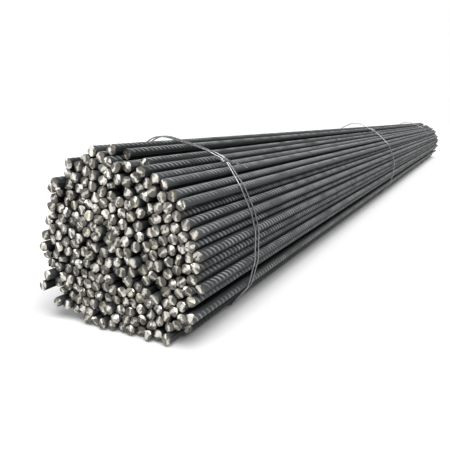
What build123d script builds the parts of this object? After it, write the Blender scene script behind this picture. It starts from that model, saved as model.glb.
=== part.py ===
from build123d import *
import math
import os

import numpy as np

# A mill bundle of deformed reinforcing bars, held by three double turns of tie wire.
# Millimetres. The bars lie along X with the sheared near end at minus X, Z is up,
# and the origin is on the floor under the middle of the bundle.

# Bars: 22 mm stock, with the diameter measured over its ribs, in a length that mills cut
BAR_DIAMETER = 25.0
BAR_LENGTH = 6000.0
BAR_CLEARANCE = 0.1
BAR_COUNT = 256
BAR_SIDES = 12

# Sheared ends: how far the worst stand out of line, what share of that the others do,
# and how far out of square they are, in degrees
END_STAGGER = 48.0
COMMON_STAGGER_SHARE = 0.08
SHEAR_TILT_ANGLE = 6.0

# Bars out of line at the near end: place across the section, from its left and its bottom,
# and how far they stand out, which is negative for bars that are set back
STRAY_SHARES = (
    (0.02, 0.42, 0.33),
    (0.05, 0.25, 0.48),
    (0.02, 0.18, 0.58),
    (0.16, 0.81, 0.50),
    (0.08, 0.08, 0.21),
    (0.81, 0.00, 0.08),
    (0.86, 0.03, -1.00),
    (0.54, 0.98, -0.71),
    (0.65, 0.93, -0.62),
    (0.49, 1.00, -0.25),
    (0.36, 0.99, -0.21),
    (0.01, 0.56, -0.25),
    (0.55, 0.79, -0.46),
    (0.71, 0.63, -0.46),
    (0.74, 0.28, -0.46),
    (0.53, 0.28, -0.42),
    (0.42, 0.49, -0.37),
    (0.36, 0.05, -0.29),
)

# How the bundle settled: shares of the bar spacing, of the bundle's radius for its height,
# and of the steps for the end of the pull
FILL_SHARE = 0.8
CENTRE_HEIGHT_SHARE = 0.84
START_SPACING_SHARE = 0.62
UNEVEN_SEAT_SHARE = 0.15
NEIGHBOUR_SHARE = 1.6
ROUGH_PULL_SHARE = 0.02
CLOSING_PULL_SHARE = 0.004
PUSH_SHARE = 0.35
PULL_END_SHARE = 0.77
ROUGH_STEPS = 400
CLOSING_STEPS = 500
PUSHES_A_STEP = 3
NEIGHBOUR_STEPS = 10
SETTLE_SEED = 7

# Tie wire: two turns side by side, tight together at the knot, which part within a share
# of the way round
WIRE_DIAMETER = 4.0
WIRE_CLEARANCE = 0.3
WIRE_SIDES = 6
STRAND_SPACING = 10.5
PARTING_SHARE = 0.05
BEND_ANGLE = 22.0

# Knot: a flat run lifted off the bars, with the end of the wire coiled round it.
# The shares are places along half the flat run, counted the way that the wire is wound.
KNOT_HALF = 32.0
KNOT_RISE = 13.0
HOOK_REACH = 12.0
HOOK_END_SHARE = 0.1
HOOK_BEND_SHARE = 0.35
CROSSING_SHARE = 0.3
LIFT_START_SHARE = -0.7
LIFT_END_SHARE = -0.35
COIL_START_SHARE = 0.6
COIL_TURNS = 2
COIL_SIDES = 8
TAIL_LENGTH = 42.0
TAIL_SPLAY = 20.0

# Where each tie stands along the bars, how high its slack arch rises off the top and how
# far it reaches to each side, and where the arch and the knot sit round the bundle, in
# degrees from its visible side. The shares are places across half an arch.
ARCH_ANGLE = 107.0
ARCH_SHARES = (-0.66, -0.33, 0.0, 0.33, 0.66)
FRONT_PLACE_SHARE = 0.043
FRONT_ARCH_RISE = 9.0
FRONT_ARCH_REACH_ANGLE = 12.0
FRONT_KNOT_ANGLE = 61.0
MIDDLE_PLACE_SHARE = 0.395
MIDDLE_ARCH_RISE = 22.0
MIDDLE_ARCH_REACH_ANGLE = 36.0
MIDDLE_KNOT_ANGLE = 74.0
REAR_PLACE_SHARE = 0.807
REAR_ARCH_RISE = 15.0
REAR_ARCH_REACH_ANGLE = 30.0
REAR_KNOT_ANGLE = 62.0

# Levels of bars that share a node, from the floor up
LAYER_COUNT = 16

# Worked out from the sizes above
bar_radius = BAR_DIAMETER / 2
bar_spacing = BAR_DIAMETER + BAR_CLEARANCE
wire_radius = WIRE_DIAMETER / 2
strand_gap = WIRE_DIAMETER + WIRE_CLEARANCE
wrap_radius = bar_radius + WIRE_CLEARANCE + wire_radius
near_end = -BAR_LENGTH / 2


def settle(places, radii, pull, steps, centre_height):
    """Draw discs towards the bundle's centre over a floor, pushing overlaps apart."""
    count = len(places)
    for step in range(steps):
        if step % NEIGHBOUR_STEPS == 0:
            spans = np.linalg.norm(places[:, None] - places[None], axis=2)
            first, second = np.nonzero(np.triu(spans < NEIGHBOUR_SHARE, 1))
            reach = radii[first] + radii[second]
        away = places - [0, centre_height]
        ease = max(0, 1 - step / (PULL_END_SHARE * steps))
        places = places - pull * ease * away / np.linalg.norm(away, axis=1, keepdims=True)
        for _ in range(PUSHES_A_STEP):
            apart = places[first] - places[second]
            span = np.linalg.norm(apart, axis=1)
            push = apart * (np.clip(reach - span, 0, None) / span * PUSH_SHARE)[:, None]
            for axis in range(2):
                places[:, axis] += np.bincount(first, push[:, axis], count)
                places[:, axis] -= np.bincount(second, push[:, axis], count)
            places[:, 1] = np.maximum(places[:, 1], radii)
    return places


def settled_section(chance):
    """Bar centres across the bundle as (right, up), lowest first.

    The bars first settle with uneven seats, because ribs catch on ribs, which keeps
    the bundle from falling into even rows. Then they close up at their true size.
    """
    bundle_radius = math.sqrt(BAR_COUNT / (4 * FILL_SHARE))
    centre_height = CENTRE_HEIGHT_SHARE * bundle_radius
    number = np.arange(BAR_COUNT)
    turn = number * math.pi * (3 - math.sqrt(5))
    distance = START_SPACING_SHARE * np.sqrt(number + 0.5)
    places = np.stack([distance * np.cos(turn), distance * np.sin(turn) + centre_height], 1)
    even = np.full(BAR_COUNT, 0.5)
    uneven = even + chance.uniform(-UNEVEN_SEAT_SHARE, UNEVEN_SEAT_SHARE, BAR_COUNT)
    places = settle(places, uneven, ROUGH_PULL_SHARE, ROUGH_STEPS, centre_height)
    places = settle(places, even, CLOSING_PULL_SHARE, CLOSING_STEPS, centre_height)
    spans = np.linalg.norm(places[:, None] - places[None], axis=2)
    closest = spans[np.triu_indices(BAR_COUNT, 1)].min()
    places = places * bar_spacing / closest
    return places[np.argsort(places[:, 1])]


def staggered(centres, chance):
    """How far each bar lies along from its neighbours, with the strays put out of line."""
    shares = np.clip(chance.normal(0, COMMON_STAGGER_SHARE, len(centres)), -1, 1)
    low, high = centres.min(axis=0), centres.max(axis=0)
    for right_share, up_share, reach_share in STRAY_SHARES:
        place = low + (high - low) * [right_share, up_share]
        shares[np.linalg.norm(centres - place, axis=1).argmin()] = -reach_share
    return END_STAGGER * shares


def slide(corner, run, through, normal):
    """Move a corner along a run until it meets a cutting plane."""
    return corner + run * ((through - corner).dot(normal) / run.dot(normal))


def drawn(route, radius, sides, roll=0, start_cut=None, end_cut=None):
    """A round drawn along a route: mitred at its bends, cut by a plane at each end."""
    points = [Vector(*point) for point in route]
    runs = [(end - start).normalized() for start, end in zip(points, points[1:])]
    cuts = [before + after for before, after in zip(runs, runs[1:])]
    cuts = [start_cut or runs[0], *cuts, end_cut or runs[-1]]
    profile = Plane(points[0], z_dir=runs[0]) * Rot(0, 0, roll) * RegularPolygon(radius, sides)
    corners = [vertex.center() for vertex in profile.vertices()]
    rings = []
    for run, point, cut in zip([runs[0], *runs], points, cuts):
        corners = [slide(corner, run, point, cut) for corner in corners]
        rings.append(corners)
    outlines = [rings[0], rings[-1]]
    for ring, next_ring in zip(rings, rings[1:]):
        for side in range(sides):
            outlines.append([ring[side - 1], ring[side], next_ring[side], next_ring[side - 1]])
    return Solid(Shell([Face(Wire.make_polygon(points)) for points in outlines]))


def shear_cut(chance):
    """Direction of one sheared face, a little out of square with the bar."""
    slope = math.tan(math.radians(SHEAR_TILT_ANGLE))
    return Vector(1, *chance.uniform(-slope, slope, 2))


def bar(right, up, shift, chance):
    """One bar, at its place in the section and moved along by its own stagger."""
    start = near_end + shift
    ends = [(start, -right, up), (start + BAR_LENGTH, -right, up)]
    roll = chance.uniform(0, 360 / BAR_SIDES)
    return drawn(ends, bar_radius, BAR_SIDES, roll, shear_cut(chance), shear_cut(chance))


def outline(points):
    """The outermost points of a set, clockwise as seen along the bars."""
    ordered = sorted(map(tuple, points))

    def chain(line):
        kept = []
        for right, up in line:
            while len(kept) > 1:
                (a_right, a_up), (b_right, b_up) = kept[-2:]
                if (b_right - a_right) * (up - a_up) > (b_up - a_up) * (right - a_right):
                    break
                kept.pop()
            kept.append((right, up))
        return kept[:-1]

    anticlockwise = chain(ordered) + chain(ordered[::-1])
    return [np.array(point) for point in anticlockwise[::-1]]


def edge_normal(start, end):
    """Outward unit normal of one edge of a clockwise outline."""
    right, up = (end - start) / np.linalg.norm(end - start)
    return np.array([-up, right])


def place_on(outside, angle):
    """Where a ray from the middle of an outline leaves it, with the normal there."""
    middle = sum(outside) / len(outside)
    ray = np.array([math.cos(math.radians(angle)), math.sin(math.radians(angle))])
    for start, end in zip(outside, outside[1:] + outside[:1]):
        normal = edge_normal(start, end)
        if normal @ ray <= 0:
            continue
        place = middle + ray * (normal @ (start - middle)) / (normal @ ray)
        if (place - start) @ (end - start) >= 0 and (place - end) @ (start - end) >= 0:
            return place, normal


def wrapped(outside, first):
    """Bend points of a wire drawn tight round an outline, from its first point onward."""
    count = len(outside)
    begin = next(k for k, point in enumerate(outside) if np.allclose(point, first))
    bends = []
    for k in range(begin, begin + count):
        before, here, after = (outside[(k + step) % count] for step in (-1, 0, 1))
        normals = edge_normal(before, here), edge_normal(here, after)
        lead, leave = (math.atan2(up, right) for right, up in normals)
        turn = (lead - leave) % (2 * math.pi)
        pieces = math.ceil(math.degrees(turn) / BEND_ANGLE)
        radius = wrap_radius / math.cos(turn / pieces / 2)
        for piece in range(pieces):
            angle = lead - turn * (piece + 0.5) / pieces
            bends.append(here + radius * np.array([math.cos(angle), math.sin(angle)]))
    return bends


def slack_arch(bars, rise, reach_angle):
    """Points that lift the wire off the top bars in a low round arch."""
    points = []
    for share in ARCH_SHARES:
        place, normal = place_on(bars, ARCH_ANGLE + share * reach_angle)
        points.append(place + normal * rise * math.cos(share * math.pi / 2))
    return points


def tie_route(centres, place, arch_rise, arch_reach_angle, knot_angle):
    """Points of one tie: hooked start, two turns round the bundle, coil and free tail."""
    bars = outline(centres)
    knot_place, knot_normal = place_on(bars, knot_angle)
    onward = np.array([knot_normal[1], -knot_normal[0]])
    lifted = knot_place + knot_normal * KNOT_RISE
    knot_ends = [lifted + onward * KNOT_HALF, lifted - onward * KNOT_HALF]
    outside = outline([*bars, *slack_arch(bars, arch_rise, arch_reach_angle), *knot_ends])
    bends = wrapped(outside, knot_ends[0])
    steps = np.linalg.norm(np.diff(bends, axis=0), axis=1)
    along = np.concatenate([[0], np.cumsum(steps)]) / steps.sum()
    parted = np.clip(np.minimum(along, 1 - along) / PARTING_SHARE, 0, 1)
    spacing = strand_gap + (STRAND_SPACING - strand_gap) * parted
    knot = lifted + knot_normal * wrap_radius
    half_gap = strand_gap / 2

    def at(share, across, rise):
        right, up = knot + onward * share * KNOT_HALF + knot_normal * rise
        return place + across, -right, up

    def turn(side):
        return [(place + side * gap / 2, -right, up) for (right, up), gap in zip(bends, spacing)]

    route = [at(HOOK_END_SHARE, -half_gap - HOOK_REACH, 0), at(HOOK_BEND_SHARE, -half_gap, 0)]
    route += turn(-1)
    route += [at(-CROSSING_SHARE, -half_gap, 0), at(CROSSING_SHARE, half_gap, 0)]
    route += turn(1)
    route += [at(LIFT_START_SHARE, half_gap, 0), at(LIFT_END_SHARE, half_gap, strand_gap)]
    coil_radius = strand_gap / math.cos(math.pi / COIL_SIDES)
    for step in range(COIL_TURNS * COIL_SIDES + 1):
        angle = math.pi / 2 - 2 * math.pi * (step + 0.5) / COIL_SIDES
        across = math.copysign(half_gap, math.cos(angle)) + coil_radius * math.cos(angle)
        share = COIL_START_SHARE + step / COIL_SIDES * strand_gap / KNOT_HALF
        route.append(at(share, across, coil_radius * math.sin(angle)))
    tail_share = TAIL_LENGTH / KNOT_HALF
    route.append(at(share + tail_share / 2, half_gap + TAIL_SPLAY / 2, strand_gap))
    route.append(at(share + tail_share, half_gap + TAIL_SPLAY, strand_gap))
    return route


chance = np.random.default_rng(SETTLE_SEED)
centres = settled_section(chance)
shifts = staggered(centres, chance)

levels = np.linspace(centres[0, 1], centres[-1, 1], LAYER_COUNT + 1)[1:-1]
layers = [[] for _ in range(LAYER_COUNT)]
for (right, up), shift in zip(centres, shifts):
    layers[np.searchsorted(levels, up)].append(bar(right, up, shift, chance))
nodes = {f"bars_layer_{number:02d}": bars for number, bars in enumerate(layers, 1)}

front = FRONT_PLACE_SHARE, FRONT_ARCH_RISE, FRONT_ARCH_REACH_ANGLE, FRONT_KNOT_ANGLE
middle = MIDDLE_PLACE_SHARE, MIDDLE_ARCH_RISE, MIDDLE_ARCH_REACH_ANGLE, MIDDLE_KNOT_ANGLE
rear = REAR_PLACE_SHARE, REAR_ARCH_RISE, REAR_ARCH_REACH_ANGLE, REAR_KNOT_ANGLE
ties = {"tie_wire_front": front, "tie_wire_middle": middle, "tie_wire_rear": rear}
for name, (place_share, *shape) in ties.items():
    route = tie_route(centres, near_end + place_share * BAR_LENGTH, *shape)
    wire = drawn(route, wire_radius, WIRE_SIDES)
    length = sum(math.dist(start, end) for start, end in zip(route, route[1:]))
    section = RegularPolygon(wire_radius, WIRE_SIDES).area
    print(f"{name}: {length:.0f} mm of wire, {wire.volume / length / section:.4f} of section times length")
    nodes[name] = [wire]

box = Compound([solid for solids in nodes.values() for solid in solids]).bounding_box()
under_middle = Pos(-box.center().X, -box.center().Y, -box.min.Z)
os.makedirs("parts", exist_ok=True)
for name, solids in nodes.items():
    export_step(under_middle * Compound(solids), f"parts/{name}.step")
print(f"bundle {box.size.X:.1f} x {box.size.Y:.1f} x {box.size.Z:.1f} mm")
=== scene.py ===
# %% [markdown]
# # A bundle of reinforcing bars
#
# This lesson dresses a bundle of ribbed steel bars, tied with wire, around a plain CAD frame.
# The frame already says where every bar and every wire lies. Blender adds what the eye looks
# for: rolled ribs, sheared ends, mill scale, round wire and soft studio light.

# %% Load the frame
import math

import bmesh
import bpy
import numpy as np
from mathutils import Matrix, Vector


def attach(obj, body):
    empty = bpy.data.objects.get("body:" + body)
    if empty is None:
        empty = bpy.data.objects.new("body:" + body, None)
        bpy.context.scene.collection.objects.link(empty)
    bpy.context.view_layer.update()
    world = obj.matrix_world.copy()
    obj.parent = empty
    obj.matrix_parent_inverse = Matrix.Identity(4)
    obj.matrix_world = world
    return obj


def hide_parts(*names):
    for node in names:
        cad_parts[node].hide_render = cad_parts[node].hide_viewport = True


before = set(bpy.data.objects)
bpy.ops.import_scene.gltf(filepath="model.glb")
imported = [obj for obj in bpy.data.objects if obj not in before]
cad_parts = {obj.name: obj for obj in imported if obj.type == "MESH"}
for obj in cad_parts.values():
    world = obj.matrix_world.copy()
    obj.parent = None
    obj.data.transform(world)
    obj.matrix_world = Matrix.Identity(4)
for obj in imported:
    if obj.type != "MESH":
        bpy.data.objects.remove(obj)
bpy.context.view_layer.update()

MM = 0.001
layer_names = sorted(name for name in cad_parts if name.startswith("bars_layer"))
tie_names = sorted(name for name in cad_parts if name.startswith("tie_wire"))

# %% [markdown]
# ## Where the bars lie
#
# A CAD level is one mesh with about sixteen separate bars in it. Their places could be typed
# in, but reading them from the mesh keeps both models in step. We copy a level, merge its
# loose triangles, and walk from vertex to vertex to find each bar. A bar's two rings of
# vertices give its centre line and the slope of both sheared faces.

# %% Read the bars
MERGE = 0.01 * MM
DECIMALS = 5  # of a metre, which is fine enough to put places in order


def merged_copy(name):
    """A bmesh of a CAD node with its loose triangles joined."""
    bm = bmesh.new()
    bm.from_mesh(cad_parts[name].data)
    bmesh.ops.remove_doubles(bm, verts=bm.verts, dist=MERGE)
    return bm


def islands(bm):
    """The corner points of each separate body in a bmesh."""
    found = set()
    for start in bm.verts:
        body, to_visit = [], [start]
        while to_visit:
            vert = to_visit.pop()
            if vert not in found:
                found.add(vert)
                body.append(vert.co[:])
                to_visit += [edge.other_vert(vert) for edge in vert.link_edges]
        if body:
            yield np.array(body, dtype=np.float64)


def sheared_face(ring):
    """Centre of a ring of corners, and how its plane slopes along Y and Z."""
    centre = ring.mean(axis=0)
    slopes = np.linalg.lstsq(ring[:, 1:] - centre[1:], ring[:, 0] - centre[0], rcond=None)[0]
    return centre, slopes


bars = []
for layer in layer_names:
    bm = merged_copy(layer)
    for corners in islands(bm):
        middle = corners[:, 0].mean()
        near, near_slopes = sheared_face(corners[corners[:, 0] < middle])
        far, far_slopes = sheared_face(corners[corners[:, 0] > middle])
        bars.append(dict(layer=layer, near=near, far=far, slopes=(near_slopes, far_slopes)))
    bm.free()
# a fixed order, so that each bar draws the same chances on every run
bars.sort(key=lambda bar: (bar["layer"], *bar["near"][1:].round(DECIMALS)))
bar_over_ribs = max(np.ptp(corners[:, 1]), np.ptp(corners[:, 2]))
print(len(bars), "bars,", round(bar_over_ribs / MM, 2), "mm over the ribs")

# %% [markdown]
# ## Which bars show
#
# Only the bars on the outside of the bundle show along their length. From each bar's centre
# we look out in many directions across the bundle, and keep those that no other bar blocks.
# Their sum, drawn a little to the side that is seen most, is the way that the bar faces. It
# decides where ribs are worth modelling. Light comes from above, so a bar's bright side is
# turned up from there. Rays could be cast in Blender, but one table of distances is quicker.

# %% Find the outer bars
LOOKS = 72
TOWARDS_VIEW = (-6.0, 0.0)  # along Y and Z, where each free look counts as 1
LIT_FROM_ABOVE = math.radians(34)

centres = np.array([bar["near"][1:] for bar in bars])
look_angles = np.arange(LOOKS) * 2 * math.pi / LOOKS
looks = np.stack([np.cos(look_angles), np.sin(look_angles)], axis=1)
for bar in bars:
    apart = centres - bar["near"][1:]
    ahead = apart @ looks.T
    aside = np.abs(apart @ np.stack([-looks[:, 1], looks[:, 0]]))
    blocked = ((ahead > bar_over_ribs / 4) & (aside < bar_over_ribs / 2)).any(axis=0)
    outward = looks[~blocked].sum(axis=0) + TOWARDS_VIEW
    bar["faces"] = math.atan2(outward[1], outward[0]) if (~blocked).any() else None
    if bar["faces"] is not None:
        # the side lit from above, from which the painted shade is laid
        bar["lit"] = bar["faces"] + LIT_FROM_ABOVE * math.cos(bar["faces"])
print(sum(bar["faces"] is not None for bar in bars), "bars show along their length")

# %% [markdown]
# ## Cutting an end
#
# A mill crops its bars cold, with a blade. The blade squashes the end a little wider, polishes
# part of the face and tears the rest away, so no two ends are alike. They could be sculpted
# one by one, but the bundle has hundreds. So a function flares one end of a short bar, and
# cuts it with a few planes by chance: shallow ones across the face, steep ones at the edge.
# Now and then an end is pinched from two sides, as a worn blade leaves it.

# %% Cut one end of a stub bar
CORE_RADIUS = 11.5 * MM  # the bar between its ribs
STUB_HALF = 100 * MM
CROPPED = 55 * MM  # how far in from its end a bar is flared
END_FLARE = 1.042
PINCH_OFFSET = 5 * MM
PINCH_LEAN = 58, 68  # these leans are in degrees, and the turns in radians
TORN_FACE = dict(count=(2, 4), lean=(8, 30), offset_share=(0.0, 0.7), turn=(1.3, 2.8))
CHIPPED_EDGE = dict(count=(2, 5), lean=(55, 72), offset_share=(0.84, 0.95), turn=(0.9, 1.8))
CHANCE_SEED = 25
chance = np.random.default_rng(CHANCE_SEED)


def shear(bm, end, lean, turn, offset):
    """Cut a corner off one end of a stub with a plane, and close the cut."""
    outward = Vector((0, math.cos(turn), math.sin(turn)))
    normal = Vector((end, 0, 0)) * math.cos(lean) + outward * math.sin(lean)
    through = Vector((end * STUB_HALF, 0, 0)) + outward * offset
    everything = bm.verts[:] + bm.edges[:] + bm.faces[:]
    cut = bmesh.ops.bisect_plane(
        bm, geom=everything, dist=MERGE, plane_co=through, plane_no=normal, clear_outer=True
    )
    rim = [item for item in cut["geom_cut"] if isinstance(item, bmesh.types.BMEdge)]
    bmesh.ops.edgeloop_fill(bm, edges=rim)


def crop(bm, end, pinched):
    """Flare one end of a stub, and cut it as the blade and the tear would."""
    bmesh.ops.bisect_plane(
        bm, geom=bm.verts[:] + bm.edges[:] + bm.faces[:], dist=MERGE,
        plane_co=(end * (STUB_HALF - CROPPED), 0, 0), plane_no=(1, 0, 0),
    )
    squashed = [vert for vert in bm.verts if end * vert.co.x > STUB_HALF - MERGE]
    bmesh.ops.scale(bm, verts=squashed, vec=(1, END_FLARE, END_FLARE))
    turn = chance.uniform(0, 2 * math.pi)
    if pinched:
        for side in (0, math.pi):
            lean = math.radians(chance.uniform(*PINCH_LEAN))
            shear(bm, end, lean, turn + side, PINCH_OFFSET)
    for cuts in (TORN_FACE, CHIPPED_EDGE):
        for _ in range(chance.integers(*cuts["count"])):
            lean = math.radians(chance.uniform(*cuts["lean"]))
            shear(bm, end, lean, turn, CORE_RADIUS * chance.uniform(*cuts["offset_share"]))
            turn += chance.uniform(*cuts["turn"])


print("an end flares from", CORE_RADIUS / MM, "to", round(CORE_RADIUS * END_FLARE / MM, 2), "mm")

# %% [markdown]
# ## Stub bars
#
# A few dozen stubs are enough, because each bar takes one by chance, rolls it and stretches
# its middle. A stub is a cylinder with both ends cut, and a bevel rounds the cut edges as
# steel that flows under the blade does. Each large facet also draws a gloss of its own, which
# later tells polished steel from torn steel and sets how pale the facet is painted, as a
# highlight. The result is kept as arrays, for quick copying.

# %% Make the stub bars
CORE_SIDES = 18
STUB_COUNT = 40
PINCHED_EVERY = 20
EDGE_ROUND = 0.7 * MM
END_LEAN = 0.2  # a face belongs to an end where its normal has more than this along the bar
FACET_AREA = 6 * MM * MM
PLAIN_GLOSS = 0.5
SIDE_STEEL, END_STEEL = 0, 1  # the two material slots of a bar


def faces_of_ends(bm):
    """The faces that the cuts have left."""
    return [face for face in bm.faces if abs(face.normal.x) > END_LEAN]


def triangulated(bm):
    """Corners and triangles of a bmesh, as arrays."""
    bmesh.ops.triangulate(bm, faces=bm.faces)
    bmesh.ops.recalc_face_normals(bm, faces=bm.faces)
    bm.verts.index_update()
    corners = np.array([vert.co[:] for vert in bm.verts])
    return corners, np.array([[vert.index for vert in face.verts] for face in bm.faces])


def facet_gloss(bm):
    """A gloss by chance for each large facet, given to its corners."""
    gloss = {vert: PLAIN_GLOSS for vert in bm.verts}
    facets = [face for face in faces_of_ends(bm) if face.calc_area() > FACET_AREA]
    # in order of place, because a bevel doesn't keep to one order of its own
    for face in sorted(facets, key=lambda face: face.calc_center_median().to_tuple(DECIMALS)):
        gloss.update(dict.fromkeys(face.verts, chance.random()))
    return gloss


def stub_bar(pinched):
    """One stub bar with two different sheared ends."""
    bm = bmesh.new()
    bmesh.ops.create_cone(
        bm, cap_ends=True, segments=CORE_SIDES, radius1=CORE_RADIUS, radius2=CORE_RADIUS,
        depth=2 * STUB_HALF, matrix=Matrix.Rotation(math.pi / 2, 4, "Y"),
    )
    for end in (-1, 1):
        crop(bm, end, pinched)
    bmesh.ops.recalc_face_normals(bm, faces=bm.faces)
    end_edges = list(dict.fromkeys(edge for face in faces_of_ends(bm) for edge in face.edges))
    bmesh.ops.bevel(
        bm, geom=end_edges, offset=EDGE_ROUND, offset_type="OFFSET", segments=2,
        profile=0.5, affect="EDGES", clamp_overlap=True, material=-1,
    )
    bmesh.ops.remove_doubles(bm, verts=bm.verts, dist=MERGE)
    bmesh.ops.dissolve_degenerate(bm, edges=bm.edges, dist=MERGE)
    gloss = facet_gloss(bm)
    corners, triangles = triangulated(bm)
    glosses = [gloss[vert] for vert in bm.verts]
    on_end = np.array([abs(face.normal.x) > END_LEAN for face in bm.faces])
    bm.free()
    sheared = np.abs(corners[:, 0]) > STUB_HALF - CROPPED + MERGE
    near_end, far_end = sheared & (corners[:, 0] < 0), sheared & (corners[:, 0] > 0)
    return dict(
        corners=corners,
        triangles=triangles,
        steel=np.where(on_end, END_STEEL, SIDE_STEEL),
        smooth=~on_end,
        across=np.column_stack([glosses, corners[:, 1:] / CORE_RADIUS]),
        sheared=sheared,
        # how far in from each end the bar has its whole section
        whole=[corners[near_end, 0].max() + STUB_HALF, STUB_HALF - corners[far_end, 0].min()],
    )


stubs = [
    stub_bar(pinched=number % PINCHED_EVERY == PINCHED_EVERY - 1) for number in range(STUB_COUNT)
]
print(STUB_COUNT, "stub bars of about", len(stubs[0]["triangles"]), "triangles")

# %% [markdown]
# ## Rolled ribs
#
# The last pair of rolls presses crescent ribs into both sides of a bar, and squeezes two
# straight ribs out at the joints between the rolls. Bump in the material could fake them, but
# each one catches the light and breaks the bar's outline, so they are modelled. A crescent
# starts as a low trapezoid that is spun about the bar. Its ends are merged to points, its
# crest is lowered towards them, and it is slanted. It has few triangles, because it will be
# repeated thousands of times.

# %% Make one crescent rib and one straight rib
RIB_PITCH = 16.5 * MM
RIB_WIDTH = 9.5 * MM
RIB_TOP_SHARE = 0.4
RIB_HEIGHT = 0.96 * MM
RIB_ROOT = 0.5 * MM  # how deep a rib is sunk into the bar
RIB_ARC = math.radians(128)
RIB_SLANT = math.radians(52)
CREST_FALL = 0.6  # under 1 keeps the crest high for longer before it falls
CLOSE_RIB_STEPS, FAR_RIB_STEPS = 6, 4
STRAIGHT_WIDTH = 3.2 * MM
STRAIGHT_HEIGHT = 0.9 * MM
STRAIGHT_TOP_SHARE = 0.4
# how bright a straight rib's crest is: rubbed steel that is partly a painted highlight
STRAIGHT_WEAR_AND_HIGHLIGHT = 0.3


def rib_shape(bm, crest):
    """Arrays of a finished rib, with its crest marked for rubbed steel that is partly a painted
    highlight.
    """
    corners, triangles = triangulated(bm)
    bm.free()
    height = np.hypot(corners[:, 1], corners[:, 2]) - CORE_RADIUS
    return dict(
        corners=corners,
        triangles=triangles,
        steel=np.full(len(triangles), SIDE_STEEL),
        smooth=np.full(len(triangles), True),
        wear_and_painted_light=np.clip(height / (crest - CORE_RADIUS), 0, 1),
        across=np.zeros_like(corners),
    )


def crescent_rib(steps):
    """One slanted crescent, centred over the top of a bar."""
    root, crest = CORE_RADIUS - RIB_ROOT, CORE_RADIUS + RIB_HEIGHT
    foot, top = RIB_WIDTH / 2, RIB_WIDTH / 2 * RIB_TOP_SHARE
    section = [(-foot, 0, root), (foot, 0, root), (top, 0, crest), (-top, 0, crest)]
    bm = bmesh.new()
    first = [bm.verts.new(corner) for corner in section]
    start = Matrix.Rotation(-RIB_ARC / 2, 3, "X")
    bmesh.ops.rotate(bm, verts=first, cent=(0, 0, 0), matrix=start)
    bm.faces.new(first)
    swept = bmesh.ops.spin(
        bm, geom=bm.faces[:], axis=(1, 0, 0), cent=(0, 0, 0), angle=RIB_ARC, steps=steps
    )
    last = [item for item in swept["geom_last"] if isinstance(item, bmesh.types.BMVert)]
    for tip in (first, last):
        middle = sum((vert.co for vert in tip), Vector()) / len(tip)
        bmesh.ops.pointmerge(bm, verts=tip, merge_co=middle)
    for vert in bm.verts:
        angle = math.atan2(vert.co.y, vert.co.z)
        radius = math.hypot(vert.co.y, vert.co.z)
        if radius > CORE_RADIUS:
            fall = max(0, math.cos(angle / RIB_ARC * math.pi)) ** CREST_FALL
            vert.co.yz *= (CORE_RADIUS + (radius - CORE_RADIUS) * fall) / radius
        vert.co.x -= angle * CORE_RADIUS / math.tan(RIB_SLANT)
    bmesh.ops.dissolve_degenerate(bm, edges=bm.edges, dist=MERGE)
    return rib_shape(bm, crest)


def straight_rib():
    """One straight rib over the top of a bar, of unit length from X = 0 to 1."""
    root, crest = CORE_RADIUS - RIB_ROOT, CORE_RADIUS + STRAIGHT_HEIGHT
    bm = bmesh.new()
    bmesh.ops.create_cube(bm, size=1, matrix=Matrix.Translation((0.5, 0, 0)))
    for vert in bm.verts:
        on_top = vert.co.z > 0
        vert.co.y *= STRAIGHT_WIDTH * (STRAIGHT_TOP_SHARE if on_top else 1)
        vert.co.z = crest if on_top else root
    return rib_shape(bm, crest)


close_rib, far_rib = crescent_rib(CLOSE_RIB_STEPS), crescent_rib(FAR_RIB_STEPS)
straight = straight_rib()
straight["wear_and_painted_light"] *= STRAIGHT_WEAR_AND_HIGHLIGHT
print("a close crescent has", len(close_rib["triangles"]), "triangles")

# %% [markdown]
# ## Joining copies
#
# There are many thousands of ribs, so they are not objects of their own. Instances would be
# another way, but here each level of the bundle becomes one mesh, joined from arrays: corners
# and triangles of every copy are stacked, and three attributes travel with them. One of them,
# for wear and painted light, is 1 on a crest that is rubbed bright, which is partly a painted
# highlight since it shows only on a lit side, 0 on plain scale, and -1 where shade is painted:
# on the side of a bar turned from the light and in the gaps between bars. `tone` gives each bar
# a shade of its own. `across` holds a facet's gloss in X, and in Y and Z the place on a sheared
# face, in bar radii from its middle.

# %% Helpers that place and join copies


def rolled(corners, angle):
    """Corners turned about the bar's own axis."""
    cos, sin = math.cos(angle), math.sin(angle)
    x, y, z = corners.T
    return np.stack([x, y * cos - z * sin, y * sin + z * cos], axis=1)


def repeated(shape, placed, tone, wear_and_painted_light):
    """Many copies of one shape: placed holds the corners of each copy in turn."""
    copies, count = placed.shape[:2]
    steps = np.arange(copies)[:, None, None] * count
    return dict(
        corners=placed.reshape(-1, 3),
        triangles=(shape["triangles"][None] + steps).reshape(-1, 3),
        steel=np.tile(shape["steel"], copies),
        smooth=np.tile(shape["smooth"], copies),
        wear_and_painted_light=np.tile(wear_and_painted_light, copies),
        across=np.tile(shape["across"], (copies, 1)),
        tone=np.full(copies * count, tone),
    )


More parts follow.
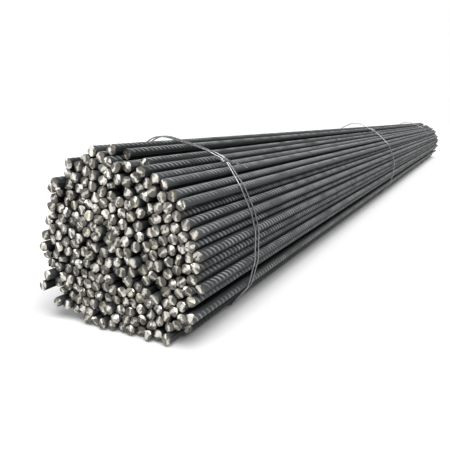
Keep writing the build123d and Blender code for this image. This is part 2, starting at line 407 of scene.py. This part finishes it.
def joined(name, shapes, materials):
    """One mesh object from a list of shapes."""
    starts = np.cumsum([0] + [len(shape["corners"]) for shape in shapes[:-1]])
    stacked = {word: np.concatenate([shape[word] for shape in shapes]) for word in shapes[0]}
    sizes = [len(shape["triangles"]) for shape in shapes]
    triangles = stacked["triangles"] + np.repeat(starts, sizes)[:, None]
    mesh = bpy.data.meshes.new(name)
    mesh.vertices.add(len(stacked["corners"]))
    mesh.vertices.foreach_set("co", stacked["corners"].astype(np.float32).ravel())
    mesh.loops.add(triangles.size)
    mesh.loops.foreach_set("vertex_index", triangles.astype(np.int32).ravel())
    mesh.polygons.add(len(triangles))
    mesh.polygons.foreach_set("loop_start", np.arange(0, triangles.size, 3, dtype=np.int32))
    for material in materials:
        mesh.materials.append(material)
    mesh.polygons.foreach_set("material_index", stacked["steel"].astype(np.int32))
    mesh.polygons.foreach_set("use_smooth", stacked["smooth"])
    for word in ("wear_and_painted_light", "tone"):
        values = stacked[word].astype(np.float32)
        mesh.attributes.new(word, "FLOAT", "POINT").data.foreach_set("value", values)
    across = stacked["across"].astype(np.float32).ravel()
    mesh.attributes.new("across", "FLOAT_VECTOR", "POINT").data.foreach_set("vector", across)
    mesh.update(calc_edges=True)
    mesh.validate()
    piece = bpy.data.objects.new(name, mesh)
    bpy.context.scene.collection.objects.link(piece)
    return piece


print("copies are joined level by level")

# %% [markdown]
# ## Materials
#
# Steel shows here in three states: under scale, freshly sheared, and drawn to wire. Each is a
# material made of nodes, which needs no image files. Patterns read Object coordinates, which
# are metres here, so a scale of 1 / size gives a real size. One small function adds a node
# with its settings and links, so a material reads as a list of steps.

# %% Helpers for materials
MIX_A, MIX_B, MIX_RESULT = 6, 7, 2  # the colour sockets of a Mix node


def linear(hex_colour):
    """An sRGB hex colour as linear red, green, blue and alpha."""
    parts = [int(hex_colour[k : k + 2], 16) / 255 for k in (1, 3, 5)]
    return [c / 12.92 if c <= 0.04045 else ((c + 0.055) / 1.055) ** 2.4 for c in parts] + [1.0]


def add_node(tree, kind, settings, links):
    """Add a node, set its properties or input values, and link outputs to its inputs."""
    added = tree.nodes.new(kind)
    for name, value in settings.items():
        if isinstance(name, str) and name in added.bl_rna.properties:
            setattr(added, name, value)
        else:
            added.inputs[name].default_value = value
    for name, output in links.items():
        tree.links.new(output, added.inputs[name])
    return added


def new_material(name):
    """A material with an empty node tree."""
    material = bpy.data.materials.new(name)
    material.use_nodes = True
    material.node_tree.nodes.clear()
    return material, material.node_tree


print("sRGB mid grey is", round(linear("#808080")[0], 3), "linear")

# %% [markdown]
# ## Mill scale
#
# Hot-rolled bar leaves the mill with a skin of iron oxide, called mill scale. It is hard, dark
# and only half metallic to the eye. Rolling draws it out in streaks, and crests that rub on
# other bars wear down to clean steel. Noise alone could make it patchy, but it doesn't know
# where a crest is. So stretched noise gives the streaks, and the attributes of the mesh give
# the rubbed crests, the painted shade and the tone of each bar. The bright crests show only on
# a bar's lit side, so they are partly a painted highlight, and the painted shade darkens the
# side turned away from the light and the gaps between bars nearly to black.

# %% Mill scale on the sides
# Rolled black oxide: dark grey, drawn out in streaks along the bar, patchy in its sheen, with
# bright steel where a crest has been rubbed, which on a lit side is also a painted highlight,
# and painted shade, nearly black, where a bar turns from the light and where bars meet.
STREAK_WIDTH = 3 * MM
STREAK_LENGTH = 180 * MM
PATCH_SIZE = 60 * MM
GRAIN_SIZE = 1.5 * MM  # coarser than real scale, so that it shows
TONE_WEIGHT = 0.9  # how much a bar's own tone counts beside its streaks

mill_scale, tree = new_material("mill_scale_steel")
place = add_node(tree, "ShaderNodeTexCoord", {}, {}).outputs["Object"]
wear_and_painted_light = add_node(tree, "ShaderNodeAttribute", {"attribute_name": "wear_and_painted_light"}, {}).outputs["Fac"]
tone = add_node(tree, "ShaderNodeAttribute", {"attribute_name": "tone"}, {}).outputs["Fac"]
drawn_out = add_node(
    tree, "ShaderNodeMapping",
    {"Scale": (1 / STREAK_LENGTH, 1 / STREAK_WIDTH, 1 / STREAK_WIDTH)}, {"Vector": place},
).outputs["Vector"]
streaks = add_node(
    tree, "ShaderNodeTexNoise", {"Scale": 1.0, "Detail": 3.0}, {"Vector": drawn_out}
).outputs["Fac"]
patches = add_node(
    tree, "ShaderNodeTexNoise", {"Scale": 1 / PATCH_SIZE, "Detail": 4.0}, {"Vector": place}
).outputs["Fac"]
grain = add_node(
    tree, "ShaderNodeTexNoise", {"Scale": 1 / GRAIN_SIZE, "Detail": 2.0}, {"Vector": place}
).outputs["Fac"]
streaks_and_tone = add_node(
    tree, "ShaderNodeMath", {"operation": "MULTIPLY_ADD", 1: TONE_WEIGHT}, {0: tone, 2: streaks}
).outputs[0]
shade = add_node(
    tree, "ShaderNodeMapRange", {"From Min": 0.45, "From Max": 1.4}, {"Value": streaks_and_tone}
).outputs["Result"]
scale_colour = add_node(
    tree, "ShaderNodeMix",
    {"data_type": "RGBA", MIX_A: linear("#1b1d1f"), MIX_B: linear("#525556")}, {"Factor": shade},
).outputs[MIX_RESULT]
rub = add_node(
    tree, "ShaderNodeMapRange", {"From Min": 0.3, "From Max": 0.6}, {"Value": patches}
).outputs["Result"]
# crests rubbed to bright steel, which on a lit side is partly a painted highlight
rub_and_highlight = add_node(
    tree, "ShaderNodeMath", {"operation": "MULTIPLY"}, {0: wear_and_painted_light, 1: rub}
).outputs[0]
colour = add_node(
    tree, "ShaderNodeMix",
    {"data_type": "RGBA", MIX_B: linear("#a1a4a5")}, {"Factor": rub_and_highlight, MIX_A: scale_colour},
).outputs[MIX_RESULT]
# painted shade: nearly black on the side of a bar turned from the light and in the gaps
painted_shade = add_node(
    tree, "ShaderNodeMapRange", {"From Max": -1.0, "To Max": 0.95}, {"Value": wear_and_painted_light}
).outputs["Result"]
painted_shade_colour = add_node(
    tree, "ShaderNodeMix",
    {"data_type": "RGBA", MIX_B: linear("#0b0a08")}, {"Factor": painted_shade, MIX_A: colour},
).outputs[MIX_RESULT]
roughness = add_node(
    tree, "ShaderNodeMapRange", {"To Min": 0.4, "To Max": 0.62}, {"Value": patches}
).outputs["Result"]
bump = add_node(
    tree, "ShaderNodeBump", {"Strength": 0.35, "Distance": 0.3 * MM}, {"Height": grain}
).outputs["Normal"]
shader = add_node(
    tree, "ShaderNodeBsdfPrincipled", {"Metallic": 0.4, "Specular IOR Level": 0.3},
    {"Base Color": painted_shade_colour, "Roughness": roughness, "Normal": bump},
).outputs["BSDF"]
add_node(tree, "ShaderNodeOutputMaterial", {}, {"Surface": shader})
print(mill_scale.name, "has", len(tree.nodes), "nodes")

# %% [markdown]
# ## Sheared steel, and where it shines
#
# The blade polishes a bright band across each face, and the rest tears away dull. The band is
# made pale in colour, so it is partly a painted highlight as well as polished steel. One pattern
# for all ends would look printed, so the noise has a fourth dimension, moved on by each bar's
# tone. The place on the face draws the band, and the noise bends it. The gloss that each facet
# drew makes it shine more or less than its neighbours, in its roughness and, as a painted
# highlight, in its colour. Towards the rim the face is painted darker, as shade.

# %% Polished and torn steel on a sheared face
# Clean steel, burnished by a blade and torn: it gives the eye a pale, slightly warm metal with
# bands and facets that are polished and, in their colour, a painted highlight, broken by dull
# dark tears and by painted shade towards the rim.
WOBBLE_SIZE = 7 * MM
TEAR_SIZE = 10 * MM
OWN_PATTERN = 40.0  # how far along its fourth dimension the noise goes from tone 0 to 1
BAND_WOBBLE, BAND_SHIFT, BAND_MIDDLE = 1.2, 0.5, 0.85  # in bar radii

sheared_steel, tree = new_material("cold_sheared_steel")
place = add_node(tree, "ShaderNodeTexCoord", {}, {}).outputs["Object"]
tone = add_node(tree, "ShaderNodeAttribute", {"attribute_name": "tone"}, {}).outputs["Fac"]
across = add_node(tree, "ShaderNodeAttribute", {"attribute_name": "across"}, {}).outputs["Vector"]
own_pattern = add_node(
    tree, "ShaderNodeMath", {"operation": "MULTIPLY", 1: OWN_PATTERN}, {0: tone}
).outputs[0]
wobble, tears = (
    add_node(
        tree, "ShaderNodeTexNoise",
        {"noise_dimensions": "4D", "Scale": 1 / size, "Detail": 1.0},
        {"Vector": place, "W": own_pattern},
    ).outputs["Fac"]
    for size in (WOBBLE_SIZE, TEAR_SIZE)
)
spread = add_node(tree, "ShaderNodeSeparateXYZ", {}, {"Vector": across}).outputs
wavy = add_node(
    tree, "ShaderNodeMath", {"operation": "MULTIPLY_ADD", 1: BAND_WOBBLE},
    {0: wobble, 2: spread["Y"]},
).outputs[0]
off_centre = add_node(
    tree, "ShaderNodeMath", {"operation": "MULTIPLY_ADD", 1: BAND_SHIFT}, {0: tone, 2: wavy}
).outputs[0]
centred = add_node(
    tree, "ShaderNodeMath", {"operation": "SUBTRACT", 1: BAND_MIDDLE}, {0: off_centre}
).outputs[0]
from_band = add_node(
    tree, "ShaderNodeMath", {"operation": "ABSOLUTE"}, {0: centred}
).outputs[0]
band = add_node(
    tree, "ShaderNodeMapRange",
    {"interpolation_type": "SMOOTHSTEP", "From Min": 0.5, "From Max": 0.1, "To Max": 0.9},
    {"Value": from_band},
).outputs["Result"]
facet = add_node(
    tree, "ShaderNodeMapRange", {"To Min": -0.7, "To Max": 0.55}, {"Value": spread["X"]}
).outputs["Result"]
# polished steel and a painted highlight: the band and each facet's gloss make the colour pale
polished_and_highlight = add_node(
    tree, "ShaderNodeMath", {"operation": "ADD", "use_clamp": True}, {0: band, 1: facet}
).outputs[0]
flat = add_node(
    tree, "ShaderNodeVectorMath", {"operation": "MULTIPLY", 1: (0.0, 1.0, 1.0)}, {0: across}
).outputs["Vector"]
from_middle = add_node(
    tree, "ShaderNodeVectorMath", {"operation": "LENGTH"}, {0: flat}
).outputs["Value"]
# painted shade: the face is darkened towards its rim, where a rounded edge turns from the light
rim = add_node(
    tree, "ShaderNodeMapRange", {"From Min": 0.8, "From Max": 1.0, "To Max": 0.12},
    {"Value": from_middle},
).outputs["Result"]
torn = add_node(
    tree, "ShaderNodeMapRange", {"From Min": 0.57, "From Max": 0.7, "To Max": 0.8},
    {"Value": tears},
).outputs["Result"]
# dull tears, and the painted shade towards the rim
torn_and_rim_shade = add_node(
    tree, "ShaderNodeMath", {"operation": "MAXIMUM"}, {0: torn, 1: rim}
).outputs[0]
print(sheared_steel.name, "knows what is polished and what is torn")

# %% [markdown]
# ## Sheared steel, its colours
#
# Bare steel has no colour of its own to speak of, but polished and torn steel reflect so
# differently that they look like two metals. A single grey could leave that to roughness, but
# then the tears would not be dark enough. So three shades are mixed by the masks above: silver
# where it is polished, which is partly a painted highlight, dull grey elsewhere, and brown-black
# in the tears and, as painted shade, towards the rim. A few ends have gone slightly olive.

# %% Colour and gloss of a sheared face
olive = add_node(
    tree, "ShaderNodeMapRange", {"From Min": 0.9, "From Max": 0.96}, {"Value": tone}
).outputs["Result"]
silver = add_node(
    tree, "ShaderNodeMix",
    {"data_type": "RGBA", MIX_A: linear("#f6f3ea"), MIX_B: linear("#e2dfcc")},
    {"Factor": olive},
).outputs[MIX_RESULT]
# silver where polished and painted as a highlight, dull grey elsewhere
smeared_and_highlit = add_node(
    tree, "ShaderNodeMix",
    {"data_type": "RGBA", MIX_A: linear("#6b6862")}, {"Factor": polished_and_highlight, MIX_B: silver},
).outputs[MIX_RESULT]
colour = add_node(
    tree, "ShaderNodeMix",
    {"data_type": "RGBA", MIX_B: linear("#383530")}, {"Factor": torn_and_rim_shade, MIX_A: smeared_and_highlit},
).outputs[MIX_RESULT]
roughness = add_node(
    tree, "ShaderNodeMapRange", {"To Min": 0.45, "To Max": 0.24}, {"Value": polished_and_highlight}
).outputs["Result"]
bump = add_node(
    tree, "ShaderNodeBump", {"Strength": 0.5, "Distance": 0.6 * MM}, {"Height": tears}
).outputs["Normal"]
shader = add_node(
    tree, "ShaderNodeBsdfPrincipled", {"Metallic": 1.0},
    {"Base Color": colour, "Roughness": roughness, "Normal": bump},
).outputs["BSDF"]
add_node(tree, "ShaderNodeOutputMaterial", {}, {"Surface": shader})
print(sheared_steel.name, "has", len(tree.nodes), "nodes")

# %% [markdown]
# ## Drawn wire
#
# Tie wire is low-carbon steel, drawn cold through a die, which leaves it smooth and bare. One
# plain metal would nearly do. A little mottle in its shade and its gloss shows that it was
# handled and bent, and keeps three metres of wire from looking like one clean tube.

# %% Bright drawn wire on the ties
# Low-carbon wire, drawn through a die: plain grey metal with a soft sheen, and a little uneven
# where it was bent by hand.
WIRE_MOTTLE = 9 * MM

drawn_wire, tree = new_material("bright_drawn_wire")
place = add_node(tree, "ShaderNodeTexCoord", {}, {}).outputs["Object"]
mottle = add_node(
    tree, "ShaderNodeTexNoise", {"Scale": 1 / WIRE_MOTTLE, "Detail": 3.0}, {"Vector": place}
).outputs["Fac"]
colour = add_node(
    tree, "ShaderNodeMix",
    {"data_type": "RGBA", MIX_A: linear("#737577"), MIX_B: linear("#bcbebf")},
    {"Factor": mottle},
).outputs[MIX_RESULT]
roughness = add_node(
    tree, "ShaderNodeMapRange", {"To Min": 0.34, "To Max": 0.18}, {"Value": mottle}
).outputs["Result"]
shader = add_node(
    tree, "ShaderNodeBsdfPrincipled", {"Metallic": 1.0},
    {"Base Color": colour, "Roughness": roughness},
).outputs["BSDF"]
add_node(tree, "ShaderNodeOutputMaterial", {}, {"Surface": shader})
print(drawn_wire.name, "has", len(tree.nodes), "nodes")

# %% [markdown]
# ## The parts of one bar
#
# A bar is a stretched stub, rows of crescents and two straight ribs. Where bars lie together,
# shadow makes the gaps between them nearly black. Light alone leaves them too pale at this
# size, so shade is painted: every corner is darkened by how far it is turned away from the
# bar's bright side. Close to a sheared end the scale has flaked, and there the painted shade is
# weaker. Crests show rubbed bright only on a bar's lit side, so that brightness is partly a
# painted highlight.

# %% Helpers that dress one bar
OPEN_SIDE, SHUT_SIDE = 0.72, 0.22  # cosines from the way that a bar is lit
FLAKED, END_SHADE = 0.1, 0.4  # wear at a sheared end, and how dark ribs near it may be


def painted_shade_on(bar, corners):
    """Painted shade: from 0 on the lit side of a bar to 1 on the side hidden from the light."""
    if bar["faces"] is None:
        return np.ones(len(corners))
    turned = np.arctan2(corners[:, 2], corners[:, 1]) - bar["lit"]
    return np.clip((OPEN_SIDE - np.cos(turned)) / (OPEN_SIDE - SHUT_SIDE), 0, 1)


def bar_body(bar, stub, roll, tone):
    """A stub bar put in a bar's place, with its two ends as far apart as the bar's."""
    corners = rolled(stub["corners"], roll)
    # painted shade on the side turned from the light; at a sheared end, flaked scale instead
    wear_and_painted_light = np.where(stub["sheared"], FLAKED, -painted_shade_on(bar, corners))
    near_half = corners[:, 0] < 0
    start, end = bar["near"][0] + STUB_HALF, bar["far"][0] - STUB_HALF
    near_tilt, far_tilt = (corners[:, 1:] @ slopes for slopes in bar["slopes"])
    corners[:, 0] += np.where(near_half, start + near_tilt, end + far_tilt)
    corners[:, 1:] += bar["near"][1:]
    return repeated(stub, corners[None], tone, wear_and_painted_light)


def rib_row(bar, rib, roll, places, tone, worn_and_lit):
    """Crescents along one side of a bar, one at each place on X."""
    one = rolled(rib["corners"], roll)
    # painted shade away from the light; on a lit row, crests rubbed bright, partly a painted
    # highlight
    dark = painted_shade_on(bar, one) * (1 if worn_and_lit else END_SHADE)
    placed = np.repeat(one[None] + (0, *bar["near"][1:]), len(places), axis=0)
    placed[:, :, 0] += places[:, None]
    return repeated(rib, placed, tone, rib["wear_and_painted_light"] * worn_and_lit * (1 - dark) - dark)


def straight_run(bar, roll, start, end, tone):
    """A straight rib along one side of a bar."""
    one = rolled(straight["corners"], roll)
    # painted shade away from the light, and a crest rubbed bright, partly a painted highlight
    dark = painted_shade_on(bar, one) * (END_SHADE if bar["faces"] is None else 1)
    one[:, 0] = start + one[:, 0] * (end - start)
    one[:, 1:] += bar["near"][1:]
    return repeated(straight, one[None], tone, straight["wear_and_painted_light"] * (1 - dark) - dark)


dark_from = round(math.degrees(math.acos(SHUT_SIDE)))
print("a bar is fully dark from", dark_from, "degrees off its bright side")

# %% [markdown]
# ## Ribbed bars, level by level
#
# A bar on the outside is turned so that a row of crescents faces out and up, to the light, and
# that row runs its whole length. Other rows are hidden in the bundle. They could run on too,
# but then the bundle would pass a million triangles, so they are made only near the two ends,
# where the stagger lets the eye in.

# %% Dress each level
END_RIBBED = 95 * MM
CLOSE_RIBBED = 1500 * MM
ROLL_SPREAD = math.radians(24)
BAND_SPREAD = math.radians(60)
HIDDEN_BELOW = math.radians(-35)
rib_reach = np.ptp(close_rib["corners"][:, 0]) / 2


def ribbed_bar(bar):
    """All the shapes of one bar."""
    stub = stubs[chance.integers(STUB_COUNT)]
    tone = chance.random()
    phase = chance.random() * RIB_PITCH
    aim = chance.uniform(0, 2 * math.pi)
    if bar["faces"] is not None:
        aim = bar["lit"] - math.pi / 2 + chance.uniform(-ROLL_SPREAD, ROLL_SPREAD)
    start, end = bar["near"][0] + stub["whole"][0], bar["far"][0] - stub["whole"][1]
    shapes = [bar_body(bar, stub, chance.uniform(-BAND_SPREAD, BAND_SPREAD), tone)]
    for side in (-math.pi / 2, math.pi / 2):
        shapes.append(straight_run(bar, aim + side, start, end, tone))
    places = np.arange(start + rib_reach / 2 + phase / 2, end - rib_reach, RIB_PITCH)
    by_an_end = np.minimum(places - start, end - places) < END_RIBBED
    close = places < start + CLOSE_RIBBED
    shapes.append(rib_row(bar, far_rib, aim + math.pi, places[by_an_end], tone, 0))
    if bar["faces"] is not None and math.sin(bar["faces"]) > math.sin(HIDDEN_BELOW):
        shapes.append(rib_row(bar, close_rib, aim, places[close], tone, 1))
        shapes.append(rib_row(bar, far_rib, aim, places[~close], tone, 1))
    else:
        shapes.append(rib_row(bar, far_rib, aim, places[by_an_end], tone, 0))
    return shapes


total = 0
for layer in layer_names:
    shapes = [shape for bar in bars if bar["layer"] == layer for shape in ribbed_bar(bar)]
    piece = joined(layer.replace("bars", "ribbed_bars"), shapes, [mill_scale, sheared_steel])
    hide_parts(layer)
    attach(piece, "root")
    total += len(piece.data.polygons)
    print(piece.name, len(piece.data.polygons), "triangles")
print(total, "triangles on the bars")

# %% [markdown]
# ## The way a tie runs
#
# A tie is one length of stiff wire, wrapped twice round the bundle and coiled round itself.
# The CAD wire is six-sided, with a mitre at each bend. Its route could be worked out again,
# but it is already there: we walk along the wire from ring to ring and take the middle of each
# ring. The two strands are then drawn a little further apart, as they show on the real bundle.

# %% Read the route of a tie
# shares of the CAD wire's thickness and of the spacing between its two strands
WIRE_SHARES = {
    "tie_wire_front": (0.96, 1.9),
    "tie_wire_middle": (1.0, 1.1),
    "tie_wire_rear": (1.0, 1.1),
}
WIRE_SIDES = 6
FLAT_ANGLE = math.radians(0.2)


def tie_route(name):
    """Middles of a CAD tie's rings, from its hooked start to its tail, and its radius."""
    bm = merged_copy(name)
    bmesh.ops.dissolve_limit(bm, angle_limit=FLAT_ANGLE, verts=[], edges=bm.edges)
    caps = [face for face in bm.faces if len(face.verts) == WIRE_SIDES]
    hooked = min(caps, key=lambda face: face.calc_center_median().x)
    ring, seen, route = list(hooked.verts), set(), []
    while ring:
        seen.update(ring)
        route.append(sum((vert.co for vert in ring), Vector()) / len(ring))
        beside = [edge.other_vert(vert) for vert in ring for edge in vert.link_edges]
        ring = [vert for vert in dict.fromkeys(beside) if vert not in seen]
    thickness, spread = WIRE_SHARES[name]
    radius = (hooked.verts[0].co - route[0]).length * thickness
    bm.free()
    middle = sorted(place.x for place in route)[len(route) // 2]
    for place in route:
        place.x = middle + (place.x - middle) * spread
    return route, radius


routes = {tie: tie_route(tie) for tie in tie_names}
for tie, (route, radius) in routes.items():
    length = sum((b - a).length for a, b in zip(route, route[1:]))
    print(tie, len(route), "bends,", round(length, 2), "m of wire")

# %% [markdown]
# ## Tie wires
#
# A round wire could be skinned ring by ring, but a curve with a bevel does it in a few lines,
# and then becomes a mesh, as every other piece is. A smooth curve cuts the corners of its
# route. Where the wire is pulled tight over a bar it would sink in, so there the route gets a
# point on either side of the bend. Where the wire is lifted, as in the arch over the top, the
# curve runs free.

# %% Draw the ties
BEND_EASE = 14 * MM
SEATED_SHARE = 0.64  # of a bar, from its middle to a wire's middle
KNOT_BENDS = 19  # of the coil and the free tail
KNOT_THICKER = 1.2


def on_a_bar(place):
    """Whether a point of a wire lies against a bar, and isn't lifted off in an arch or knot."""
    return np.hypot(*(centres - place.yz).T).min() < SEATED_SHARE * bar_over_ribs


def eased(route):
    """A route with more points beside the bends on bars, so that a curve stays tight there."""
    points = route[:1]
    for start, end in zip(route, route[1:]):
        if (end - start).length > 3 * BEND_EASE:
            step = (end - start).normalized() * BEND_EASE
            points += [start + step] if on_a_bar(start) else []
            points += [end - step] if on_a_bar(end) else []
        points.append(end)
    return points


def wire_along(name, route, radius):
    """A round wire along a route, as a mesh object."""
    curve = bpy.data.curves.new(name, "CURVE")
    curve.dimensions = "3D"
    curve.resolution_u = 3
    curve.bevel_depth = radius
    curve.bevel_resolution = 2
    curve.use_fill_caps = True
    spline = curve.splines.new("NURBS")
    spline.points.add(len(route) - 1)
    for point, place in zip(spline.points, route):
        point.co = (*place, 1)
    for point in spline.points[-KNOT_BENDS:]:
        point.radius = KNOT_THICKER
    spline.order_u = 3
    spline.use_endpoint_u = True
    holder = bpy.data.objects.new(name + "_curve", curve)
    mesh = bpy.data.meshes.new_from_object(holder)
    bpy.data.objects.remove(holder)
    bpy.data.curves.remove(curve)
    mesh.name = name
    mesh.materials.clear()
    mesh.materials.append(drawn_wire)
    piece = bpy.data.objects.new(name, mesh)
    bpy.context.scene.collection.objects.link(piece)
    return piece


for tie, (route, radius) in routes.items():
    piece = wire_along(tie.replace("tie_wire", "twisted_tie"), eased(route), radius)
    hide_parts(tie)
    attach(piece, "root")
    print(piece.name, len(piece.data.polygons), "faces,", round(2 * radius / MM, 2), "mm thick")

# %% [markdown]
# ## Floor
#
# The bundle lies on a pale matt floor that fades into a white background. A floor that bright
# would throw too much light up under the bars. So it is grey for the light that it passes on,
# and nearly white for the camera. Light Path tells those rays apart, and the shadow stays.

# %% Lay the floor
# Matt floor paint, rolled on: no gloss, so that only the soft shadow shows.
FLOOR_HALF = 40.0
GLOSSY_WHITE = 0.45  # how far reflections see the floor as white as the camera does

floor_mesh = bpy.data.meshes.new("studio_floor")
bm = bmesh.new()
bmesh.ops.create_grid(bm, x_segments=1, y_segments=1, size=FLOOR_HALF)
bm.to_mesh(floor_mesh)
bm.free()
floor_paint, tree = new_material("matt_white_floor")
ray = add_node(tree, "ShaderNodeLightPath", {}, {}).outputs
seen = add_node(
    tree, "ShaderNodeMath", {"operation": "MULTIPLY_ADD", 1: GLOSSY_WHITE},
    {0: ray["Is Glossy Ray"], 2: ray["Is Camera Ray"]},
).outputs[0]
paint = add_node(
    tree, "ShaderNodeMix",
    {"data_type": "RGBA", MIX_A: linear("#a8a8a8"), MIX_B: linear("#f2f2f2")}, {"Factor": seen},
).outputs[MIX_RESULT]
shader = add_node(
    tree, "ShaderNodeBsdfPrincipled", {"Roughness": 0.9}, {"Base Color": paint}
).outputs["BSDF"]
add_node(tree, "ShaderNodeOutputMaterial", {}, {"Surface": shader})
floor_mesh.materials.append(floor_paint)
floor = bpy.data.objects.new("studio_floor", floor_mesh)
bpy.context.scene.collection.objects.link(floor)
print("a floor of", round(2 * FLOOR_HALF), "m")

# %% [markdown]
# ## Room
#
# Metal shows what is around it, so a plain white world would make every facet look the same.
# This one has grey walls, a grey ceiling and one bright panel, so that sheared facets flash or
# go dark by the way they face. Panels could be built as objects, but directions in the world
# need no space. The camera sees plain white, and so do reflections towards the backdrop.

# %% Build the room
# heights are sines of the angle above the horizon, and a glow of 1 is white
WALL_TOP = math.sin(math.radians(18))
CEILING_START = math.sin(math.radians(42))
PANEL_WAY = (-0.8, 0.6, 0.0)
PANEL_GLOW = 2.2
BACKDROP_WAY = (0.88, 0.47, 0.0)

world = bpy.data.worlds.new("white_studio")
bpy.context.scene.world = world
world.use_nodes = True
tree = world.node_tree
tree.nodes.clear()
direction = add_node(tree, "ShaderNodeTexCoord", {}, {}).outputs["Generated"]
height = add_node(tree, "ShaderNodeSeparateXYZ", {}, {"Vector": direction}).outputs["Z"]
overhead = add_node(
    tree, "ShaderNodeMapRange", {"From Min": WALL_TOP, "From Max": CEILING_START},
    {"Value": height},
).outputs["Result"]
to_panel = add_node(
    tree, "ShaderNodeVectorMath", {"operation": "DOT_PRODUCT", 1: PANEL_WAY}, {0: direction}
).outputs["Value"]
panel = add_node(
    tree, "ShaderNodeMapRange", {"From Min": 0.2, "From Max": 0.8}, {"Value": to_panel}
).outputs["Result"]
walls = add_node(
    tree, "ShaderNodeMix",
    {"data_type": "RGBA", MIX_A: linear("#8a8a8a"), MIX_B: [PANEL_GLOW] * 3 + [1.0]},
    {"Factor": panel},
).outputs[MIX_RESULT]
room = add_node(
    tree, "ShaderNodeMix",
    {"data_type": "RGBA", MIX_B: linear("#898989")}, {"Factor": overhead, MIX_A: walls},
).outputs[MIX_RESULT]
to_backdrop = add_node(
    tree, "ShaderNodeVectorMath", {"operation": "DOT_PRODUCT", 1: BACKDROP_WAY}, {0: direction}
).outputs["Value"]
backdrop = add_node(
    tree, "ShaderNodeMapRange", {"From Min": 0.25, "From Max": 0.8}, {"Value": to_backdrop}
).outputs["Result"]
ray = add_node(tree, "ShaderNodeLightPath", {}, {}).outputs
seen = add_node(
    tree, "ShaderNodeMath", {"operation": "MULTIPLY_ADD"},
    {0: ray["Is Glossy Ray"], 1: backdrop, 2: ray["Is Camera Ray"]},
).outputs[0]
studio = add_node(
    tree, "ShaderNodeMix",
    {"data_type": "RGBA", MIX_B: linear("#ffffff")}, {"Factor": seen, MIX_A: room},
).outputs[MIX_RESULT]
shader = add_node(tree, "ShaderNodeBackground", {}, {"Color": studio}).outputs["Background"]
add_node(tree, "ShaderNodeOutputWorld", {}, {"Surface": shader})
print(world.name, "has", len(tree.nodes), "nodes")

# %% [markdown]
# ## Lamp
#
# Large lamps overhead give a soft shadow that is darkest where the bars meet the floor. A row
# of area lamps could do that, but near ones would light the close end more than the far one.
# One very wide sun lights all six metres alike.

# %% Hang the lamp
LAMP_STRENGTH = 3.5
LAMP_SPREAD = math.radians(50)
LAMP_FROM = Vector((-0.35, -0.45, 1.0))

lamp = bpy.data.lights.new("wide_lamp", "SUN")
lamp.energy = LAMP_STRENGTH
lamp.angle = LAMP_SPREAD
lamp_object = bpy.data.objects.new("wide_lamp", lamp)
lamp_object.rotation_euler = LAMP_FROM.to_track_quat("Z", "Y").to_euler()
bpy.context.scene.collection.objects.link(lamp_object)
print("a lamp", round(math.degrees(LAMP_SPREAD)), "degrees wide")

# %% [markdown]
# ## Camera
#
# The bundle is seen from close to its near end, a little above it and to one side, through a
# moderately wide lens. That is what makes six metres of bar shrink so fast into the distance.
# The camera could be aimed at a target, but its place, turn and dip are what a photographer
# would note down, so they are the values here.

# %% Place the camera
CAMERA_PLACE = Vector((-3.785, -0.690, 0.487))
CAMERA_TURN = math.radians(27.98)
CAMERA_DIP = math.radians(12.74)
CAMERA_LENS = 37.64
CAMERA_SENSOR = 36.0

camera = bpy.data.cameras.new("camera")
camera.lens = CAMERA_LENS
camera.sensor_width = CAMERA_SENSOR
camera_object = bpy.data.objects.new("camera", camera)
camera_object.location = CAMERA_PLACE
level = math.cos(CAMERA_DIP)
forward = Vector((
    level * math.cos(CAMERA_TURN), level * math.sin(CAMERA_TURN), -math.sin(CAMERA_DIP)
))
camera_object.rotation_euler = forward.to_track_quat("-Z", "Y").to_euler()
bpy.context.scene.collection.objects.link(camera_object)
bpy.context.scene.camera = camera_object
bpy.context.scene.view_settings.view_transform = "Standard"
print("camera at", tuple(round(v, 3) for v in CAMERA_PLACE))
